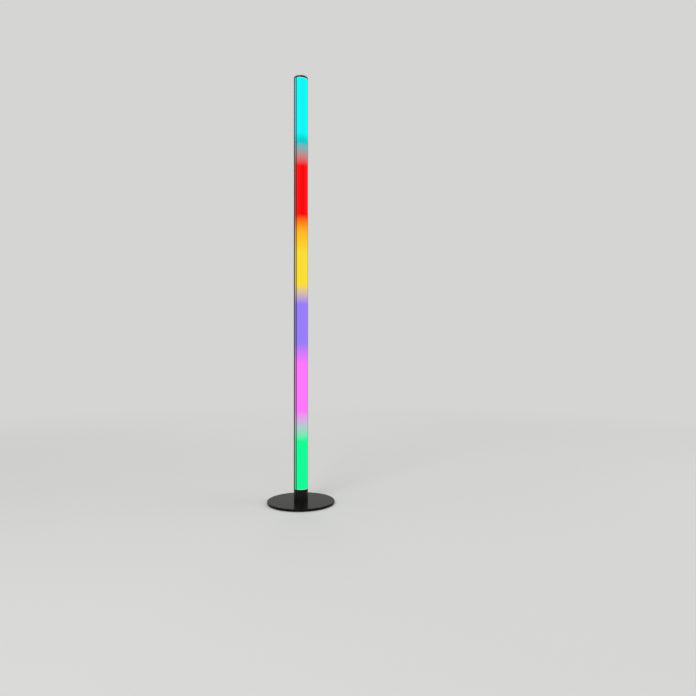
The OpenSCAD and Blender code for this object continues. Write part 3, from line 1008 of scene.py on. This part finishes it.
def make_leads():
    """The three leads, stripped at the top and soldered to the strip's first pads."""
    tin = 3                      # the slot after the three insulations
    wire_r, stripped, hidden, round_r, steps = 0.42, 3.2, 1, 0.12, 20
    solder_r, solder_out, solder_down = (0.8, 0.55, 1.35), 0.3, 1.4
    front = cad_box("led_strip")[0].y
    bm = bmesh.new()
    for index, (low, high) in enumerate(solids("strip_leads")):
        x, y, _ = middle(low, high)
        r, top = (high.x - low.x) / 2, high.z - stripped
        for material, profile in (
            (index, [(0, low.z), (r - round_r, low.z), (r, low.z + round_r), (r, top - round_r),
                     (r - round_r, top), (0, top)]),
            (tin, [(0, top - hidden), (wire_r, top - hidden), (wire_r, high.z), (0, high.z)]),
        ):
            part = bmesh.new()
            turned(part, profile, steps)
            paint(part.verts, material)
            put(bm, part, at(x, y, 0))
        mound = at(x, front - solder_out, high.z - solder_down)
        verts = bmesh.ops.create_uvsphere(
            bm, u_segments=16, v_segments=10, radius=1,
            matrix=mound @ Matrix.Diagonal((*solder_r, 1)),
        )["verts"]
        paint(verts, tin)
    lamp_piece(
        "soldered_leads", bm, "lead_insulation", "strip_leads", "supply_insulation",
        "data_insulation", "return_insulation", "tinned_copper",
    )


class LAMP_OT_strip(bpy.types.Operator):
    """Makes the light strip, its chips, its tape and its leads"""

    bl_idname = "lamp.strip"
    bl_label = "Light strip"

    def execute(self, context):
        finished_node("strip_tape", "bonding_tape", "tape_grey", finish("thermal_tape"))
        make_strip()
        make_light_chips()
        make_leads()
        return {"FINISHED"}


# -------- controller

def power_part(body, metal):
    """A voltage regulator with its cooling tab and three legs, on Z = 0."""
    width, deep, height, gap = 5.2, 3.2, 1.4, 0.05
    leg, leg_half, leg_h, tab_h, tuck = 1.2, 0.35, 0.22, 0.25, 0.2
    bm = bmesh.new()
    block(bm, (-width / 2, -deep / 2, gap), (width / 2, deep / 2, height), body, 0.18)
    block(
        bm, (-0.3 * width, deep / 2 - tuck, 0), (0.3 * width, deep / 2 + leg, tab_h), metal, 0.05
    )
    for x in (-1.8, 0, 1.8):
        block(
            bm, (x - leg_half, -deep / 2 - leg, 0), (x + leg_half, tuck - deep / 2, leg_h), metal,
            0.05,
        )
    return bm


def coil_part(body, metal):
    """A flat choke: a square ferrite with a round lid, and its two tinned ends, on Z = 0."""
    half, height, lid_r, lid_h, lid_z = 2, 0.9, 1.7, 0.5, 0.85
    end_near, end_far, end_half, end_h = 1.2, 2.3, 1.4, 0.2
    bm = bmesh.new()
    block(bm, (-half, -half, 0), (half, half, height), body, 0.3)
    disc(bm, lid_r, lid_h, at(0, 0, lid_z), body, 28)
    for side in (-1, 1):
        block(
            bm, (side * end_near, -end_half, 0), (side * end_far, end_half, end_h), metal, 0.05
        )
    return bm


def trace(bm, points, width, ground, material):
    """A copper track through points on the board, under its mask.

    The discs that join its lengths stand a little higher, so that no two faces coincide."""
    joint_h = SUNK + 1.2 * TRACK
    for (x0, z0), (x1, z1) in zip(points, points[1:]):
        run = Vector((x1 - x0, z1 - z0))
        place = ground @ at((x0 + x1) / 2, (z0 + z1) / 2, 0)
        place = place @ Matrix.Rotation(math.atan2(run.y, run.x), 4, "Z")
        part = bmesh.new()
        block(
            part, (-run.length / 2, -width / 2, -SUNK), (run.length / 2, width / 2, TRACK),
            material,
        )
        put(bm, part, place)
    for x, z in points:
        disc(bm, width / 2, joint_h, ground @ at(x, z, -SUNK), material, 12)


# Tracks on the board's front and rear, as points across and up from the board's foot.
FRONT_TRACKS = (
    ((-13, 2), (-13, 20), (-11, 22), (-7.4, 22)), ((-12, 3), (-12, 18.5), (-9.5, 21), (-7.4, 21)),
    ((-5.5, 19), (-5.5, 18.2)), ((-3, 19), (-3, 18.2)), ((-0.5, 19), (-0.5, 18.2)),
    ((1.2, 24.5), (2.6, 24.5)), ((1.2, 21.5), (3.6, 21.5)),
    ((7.6, 2), (7.6, 12), (9.6, 14), (9.6, 17.8)), ((13, 2), (13, 22), (12.6, 22.4)),
    ((-6, 27.2), (-10, 27.2), (-12.4, 25)), ((4.6, 26.2), (8.6, 26.2)),
)
REAR_TRACKS = (
    ((-12.5, 3), (-12.5, 22), (-9.5, 25)), ((12.5, 3), (12.5, 15), (9, 18.5), (9, 25)),
    ((-6, 9.6), (6, 9.6)), ((-7, 4), (-5, 4)), ((5, 4), (7.5, 4), (9.5, 6)),
    ((-11, 14), (-6.2, 14)), ((6.2, 14), (10.6, 14)),
)
# Small parts on the two sides: place across and up, and quarter turns.
FRONT_PARTS = (
    (-9.3, 18.4, 0), (-9.3, 16.6, 0), (-9.3, 14.8, 0), (9.9, 3.4, 1), (11.7, 3.4, 1),
    (9.9, 6.6, 1), (11.7, 6.6, 1), (3.5, 21.2, 0), (-8.6, 24.3, 1), (-10.4, 24.3, 1),
    (3, 26.9, 0), (-2.8, 27.4, 0),
)
REAR_PARTS = (
    (-9, 4, 1), (-11, 4, 1), (9, 8.4, 0), (9, 10.4, 0), (-9, 19.6, 0), (-9, 21.4, 0),
    (10.4, 20.4, 1), (8.4, 22, 1), (-9.3, 24.6, 0),
)


def make_board():
    """The controller board with its mask, tracks, vias and small parts on both sides."""
    mask, copper, tin, ceramic, resin = 1, 2, 3, 4, 5
    skin, margin, via_r, track_w = 0.04, 0.25, 0.42, 0.5
    low, high = cad_box("controller_board")
    bm = bmesh.new()
    block(bm, (low.x, low.y + skin, low.z), (high.x, high.y - skin, high.z))
    for y, inner in ((low.y, low.y + 2 * skin), (high.y, high.y - 2 * skin)):
        block(
            bm, (low.x + margin, y, low.z + margin), (high.x - margin, inner, high.z - margin),
            mask,
        )
    front = at(0, low.y, low.z) @ FACING_FRONT
    rear = at(0, high.y, low.z) @ FACING_REAR
    for ground, tracks, parts in (
        (front, FRONT_TRACKS, FRONT_PARTS), (rear, REAR_TRACKS, REAR_PARTS)
    ):
        for points in tracks:
            trace(bm, points, track_w, ground, copper)
            for x, z in (points[0], points[-1]):
                disc(bm, via_r, PAD + SUNK, ground @ at(x, z, -SUNK), tin)
        put(bm, small_part(1.6, 0.85, 0.5, ceramic, tin), *(
            ground @ at(x, z, 0) @ QUARTER_TURNS[turn] for x, z, turn in parts
        ))
    put(bm, power_part(resin, tin), front @ at(-10, 8.6, 0))
    put(bm, coil_part(ceramic, tin), front @ at(10.2, 12.2, 0))
    put(bm, power_part(resin, tin), rear @ at(9.4, 14.6, 0))
    lamp_piece(
        "masked_controller_board", bm, "board_laminate", "controller_board", "glass_epoxy",
        "green_solder_mask", "covered_copper", "tinned_copper", "fired_ceramic", "chip_epoxy",
    )


def make_chip():
    """The controller chip: a moulded body, its dimple and eight bent legs a side.

    Each leg is three blocks: out of the body, down to the board and along it."""
    tin, side_legs = 1, 8
    reach, gap, pitch, leg = 0.85, 0.1, 0.65, 0.26
    dimple, dimple_in, dimple_deep = 0.7, 0.9, 0.08
    leg_low, leg_high, foot_h = 0.4, 0.52, 0.12
    low, high = cad_box("controller_chip")
    half, deep = (high.x - low.x) / 2, high.y - low.y
    body = half - reach
    bm = housing(
        (-body, -body, gap), (body, body, deep), 0.1, at(0, 0, deep),
        [(16, dimple, dimple, dimple_in - body, body - dimple_in)], dimple_deep,
    )
    legs = bmesh.new()
    for i in range(side_legs):
        x = (i - (side_legs - 1) / 2) * pitch
        for start, end, foot, top in (
            (body - 0.1, body + 0.3, leg_low, leg_high), (body + 0.2, body + 0.34, 0, leg_high),
            (body + 0.24, half, 0, foot_h),
        ):
            block(legs, (x - leg / 2, start, foot), (x + leg / 2, end, top), tin, 0.02)
    put(bm, legs, *QUARTER_TURNS)
    chip = bmesh.new()
    x, _, z = middle(low, high)
    put(chip, bm, at(x, high.y, z) @ FACING_FRONT)
    lamp_piece(
        "moulded_controller_chip", chip, "chip_resin", "controller_chip", "chip_epoxy",
        "tinned_copper",
    )


def make_radio():
    """The radio: a small board with tinned edge contacts, a folded aerial and its shield."""
    mask, tin, copper = 1, 2, 3
    board_t, side_gap, foot_gap, lid, panel = 0.8, 1.0, 1.0, 11.0, 9
    contacts, contact_first, contact_pitch, contact_w, contact_half = 8, 1.4, 1.35, 0.9, 0.4
    folds, fold_left, fold_step, fold_top, fold_low, feed_low = 5, -5.6, 2.2, -0.8, -2.8, -3.6
    low, high = cad_box("radio_module")
    face = high.y - board_t
    shield_low = Vector((low.x + side_gap, low.y, low.z + foot_gap))
    shield_high = Vector((high.x - side_gap, face, low.z + foot_gap + lid))
    across, _, up = middle(shield_low, shield_high)
    bm = housing(
        shield_low, shield_high, 0.35, at(across, low.y, up) @ FACING_FRONT,
        [(4, panel, panel, 0, 0)], 0.12, taper=0.98,
    )
    block(bm, (low.x + 0.1, face, low.z), (high.x - 0.1, high.y, high.z), mask, 0.05)
    for side in (low.x, high.x):
        inner = side + math.copysign(contact_w, across - side)
        for i in range(contacts):
            z = low.z + contact_first + i * contact_pitch
            block(
                bm, (side, face - 0.04, z - contact_half), (inner, high.y, z + contact_half), tin,
                0.03,
            )
    ground = at(0, face, high.z) @ FACING_FRONT
    path = [(fold_left, feed_low), (fold_left, fold_top)]
    for i in range(folds):
        x = fold_left + fold_step * i
        half, full = x + fold_step / 2, x + fold_step
        path += [(half, fold_top), (half, fold_low), (full, fold_low), (full, fold_top)]
    trace(bm, path[:-1], 0.45, ground, copper)
    lamp_piece(
        "shielded_radio_module", bm, "shield_metal", "radio_module", "nickel_silver",
        "green_solder_mask", "tinned_copper", "covered_copper",
    )


def make_capacitor():
    """The supply capacitor: a crimped can with a dark printed mark on a moulded base."""
    ink, resin, tin = 1, 2, 3
    base, crimp, crimp_at, shoulder, lid_deep, mark_share = 0.9, 0.25, 1.75, 0.45, 0.1, 0.55
    foot_half, foot_long, foot_h = 0.4, 0.6, 0.15
    low, high = cad_box("supply_capacitor")
    r, tall = (high.x - low.x) / 2, high.y - low.y
    can_r = r - 0.1
    bm = bmesh.new()
    turned(bm, [
        (0, base / 2), (r - 0.2, base / 2), (can_r, base + 0.2), (can_r, crimp_at - crimp),
        (can_r - crimp, crimp_at), (can_r, crimp_at + crimp), (can_r, tall - shoulder),
        (r - 0.22, tall - 0.15), (r - shoulder - 0.1, tall), (r - 0.9, tall),
        (r - 1.0, tall - lid_deep), (0, tall - lid_deep),
    ], 48)
    geometry = bm.verts[:] + bm.edges[:] + bm.faces[:]
    mark = -mark_share * r
    bmesh.ops.bisect_plane(bm, geom=geometry, plane_co=(mark, 0, 0), plane_no=(1, 0, 0))
    for face in bm.faces:
        centre = face.calc_center_median()
        marked = centre.x < mark and centre.z > tall - shoulder / 2
        face.material_index = ink if marked else 0
    block(bm, (-r, -r, 0), (r, r, base), resin, 0.2)
    for side in (-1, 1):
        block(
            bm, (-foot_half, side * (r - foot_long), 0), (foot_half, side * r, foot_h), tin
        )
    capacitor = bmesh.new()
    x, _, z = middle(low, high)
    put(capacitor, bm, at(x, high.y, z) @ FACING_FRONT)
    lamp_piece(
        "crimped_supply_capacitor", capacitor, "capacitor_can", "supply_capacitor",
        "drawn_aluminium", "printed_ink", "chip_epoxy", "tinned_copper",
    )


class LAMP_OT_controller(bpy.types.Operator):
    """Makes the controller board with its chips, sockets and plug"""

    bl_idname = "lamp.controller"
    bl_label = "Controller"

    def execute(self, context):
        make_board()
        make_chip()
        make_radio()
        make_capacitor()
        sizes, nylon = settings().sizes, finish("natural_nylon")
        for node in ("input_socket", "output_socket", "lead_plug"):
            finished_node(node, "moulded_" + node, "socket_nylon", nylon, sizes.moulded_edge)
        finished_node(
            "socket_pins", "drawn_socket_pins", "pin_brass", finish("stamped_brass"),
            sizes.pin_edge,
        )
        return {"FINISHED"}


# -------- panel and run

class LAMP_PT_panel(bpy.types.Panel):
    """Lists the lamp's steps in the order in which they run"""

    bl_idname = "LAMP_PT_panel"
    bl_label = "Corner floor lamp"
    bl_space_type = "VIEW_3D"
    bl_region_type = "UI"
    bl_category = "Lamp"

    def draw(self, context):
        for step in STEPS:
            self.layout.operator(step.bl_idname)


STEPS = (
    LAMP_OT_stage, LAMP_OT_base, LAMP_OT_collar, LAMP_OT_tube, LAMP_OT_cap, LAMP_OT_screws,
    LAMP_OT_strip, LAMP_OT_controller,
)
CLASSES = (LampColours, LampLight, LampSizes, LampStage, Lamp, *STEPS, LAMP_PT_panel)


def register():
    for cls in CLASSES:
        bpy.utils.register_class(cls)
    bpy.types.Scene.lamp = PointerProperty(name="Lamp", type=Lamp)


def unregister():
    del bpy.types.Scene.lamp
    for cls in reversed(CLASSES):
        bpy.utils.unregister_class(cls)


def run_step(step):
    """Runs one operator by its name."""
    group, name = step.bl_idname.split(".")
    getattr(getattr(bpy.ops, group), name)()


def main():
    register()
    for step in STEPS:
        run_step(step)


if __name__ == "__main__":
    main()
